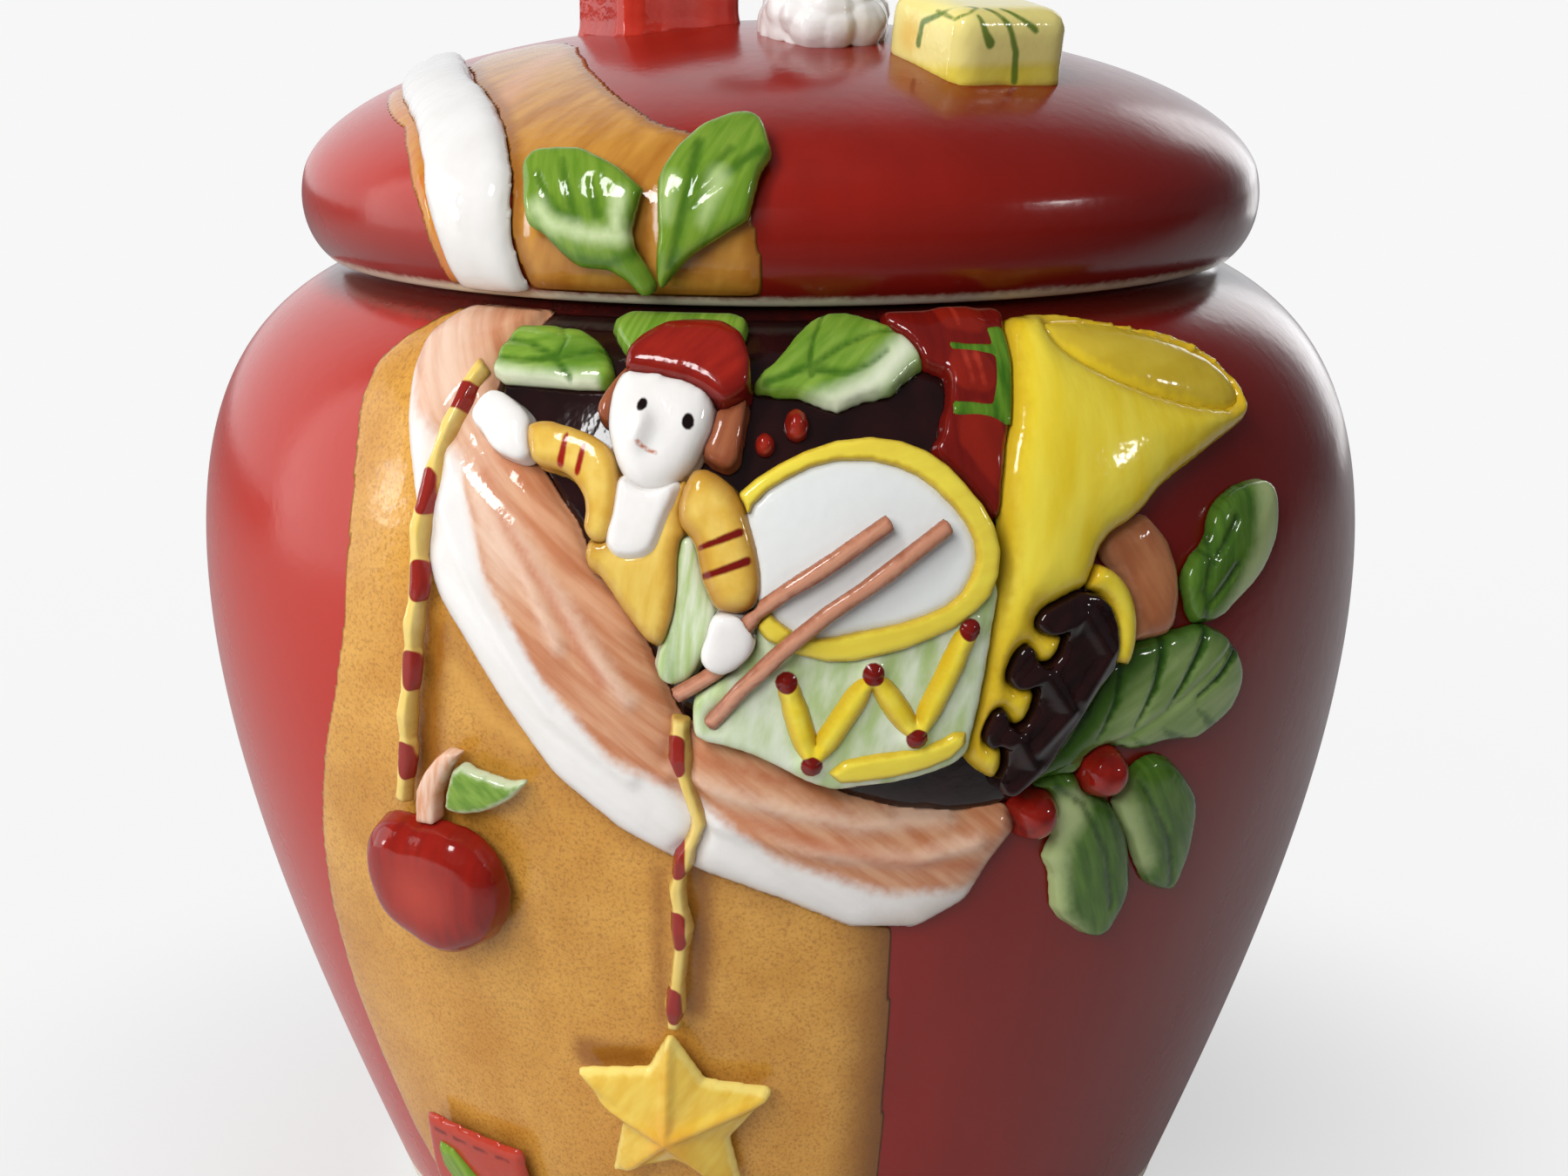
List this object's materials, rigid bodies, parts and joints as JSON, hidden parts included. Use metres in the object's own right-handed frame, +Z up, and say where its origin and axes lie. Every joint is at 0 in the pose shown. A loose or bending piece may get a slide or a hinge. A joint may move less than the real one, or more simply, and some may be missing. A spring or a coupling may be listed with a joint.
{
  "type": "cookie jar",
  "caption": "Lidded stoneware cookie jar, bellied with a narrow foot, with a sack of toys, holly and trimmings in raised clay and a handle of small presents.",
  "frame": {"origin": "centre of the flat foot, on the surface that the jar stands on", "axes": "+Z up the axis of the jar and along the lid's lift, -Y out of the decorated front, +X to the viewer's right"},
  "size_m": [0.2036, 0.214, 0.2406],
  "materials": {
    "glaze_red": "glossy hand-painted glaze",
    "glaze_ochre": "glossy hand-painted glaze",
    "glaze_white": "glossy hand-painted glaze",
    "glaze_salmon": "glossy hand-painted glaze",
    "glaze_brown": "glossy hand-painted glaze",
    "glaze_green": "glossy hand-painted glaze",
    "glaze_deep_red": "glossy hand-painted glaze",
    "glaze_soft_yellow": "glossy hand-painted glaze",
    "glaze_pale_green": "glossy hand-painted glaze",
    "glaze_yellow": "glossy hand-painted glaze",
    "glaze_stick_brown": "glossy hand-painted glaze",
    "glaze_holly_green": "glossy hand-painted glaze"
  },
  "bodies": {
    "jar": {"jar_body": "glaze_red", "sack_panel": "glaze_ochre", "sack_cuff": "glaze_white", "sack_cuff_end": "glaze_salmon", "sack_lining": "glaze_brown", "sack_leaf_left": "glaze_green", "sack_leaf_middle": "glaze_green", "sack_leaf_right": "glaze_green", "sack_berry_left": "glaze_deep_red", "sack_berry_right": "glaze_deep_red", "toy_parcel": "glaze_red", "toy_parcel_ribbon": "glaze_green", "doll_face": "glaze_white", "doll_cap": "glaze_red", "doll_hair_left": "glaze_salmon", "doll_hair_right": "glaze_salmon", "doll_torso": "glaze_soft_yellow", "doll_bib": "glaze_white", "doll_sleeve_left": "glaze_soft_yellow", "doll_hand_left": "glaze_white", "doll_sleeve_right": "glaze_soft_yellow", "doll_hand_right": "glaze_white", "doll_trousers": "glaze_pale_green", "drum_shell": "glaze_pale_green", "drum_skin": "glaze_white", "drum_hoop_upper": "glaze_yellow", "drum_hoop_lower": "glaze_yellow", "drum_lacing": "glaze_yellow", "drumstick_front": "glaze_stick_brown", "drumstick_back": "glaze_stick_brown", "horn": "glaze_yellow", "horn_mouth": "glaze_yellow", "horn_loop": "glaze_yellow", "horn_frill": "glaze_brown", "holly_leaf_upper": "glaze_holly_green", "holly_leaf_large": "glaze_holly_green", "holly_leaf_low_left": "glaze_holly_green", "holly_leaf_low_right": "glaze_holly_green", "holly_berry_left": "glaze_red", "holly_berry_right": "glaze_red", "apple": "glaze_red", "apple_stem": "glaze_stick_brown", "apple_leaf": "glaze_green", "star": "glaze_yellow", "garland_left": "glaze_soft_yellow", "garland_right": "glaze_soft_yellow", "patch": "glaze_red", "patch_leaf": "glaze_green"},
    "lid": {"lid_shell": "glaze_red", "lid_sack_panel": "glaze_ochre", "lid_sack_strip": "glaze_ochre", "lid_band": "glaze_white", "lid_leaf_left": "glaze_green", "lid_leaf_right": "glaze_green", "knob_parcel_red": "glaze_red", "knob_parcel_yellow": "glaze_soft_yellow", "knob_cap_brim": "glaze_white", "knob_cap": "glaze_red", "knob_pompom": "glaze_white"}
  },
  "joints": [
    {"name": "lid_lift", "type": "slide", "parent": "jar", "child": "lid", "axis": [0, 0, 1], "range_m": [0, 0.08]}
  ]
}
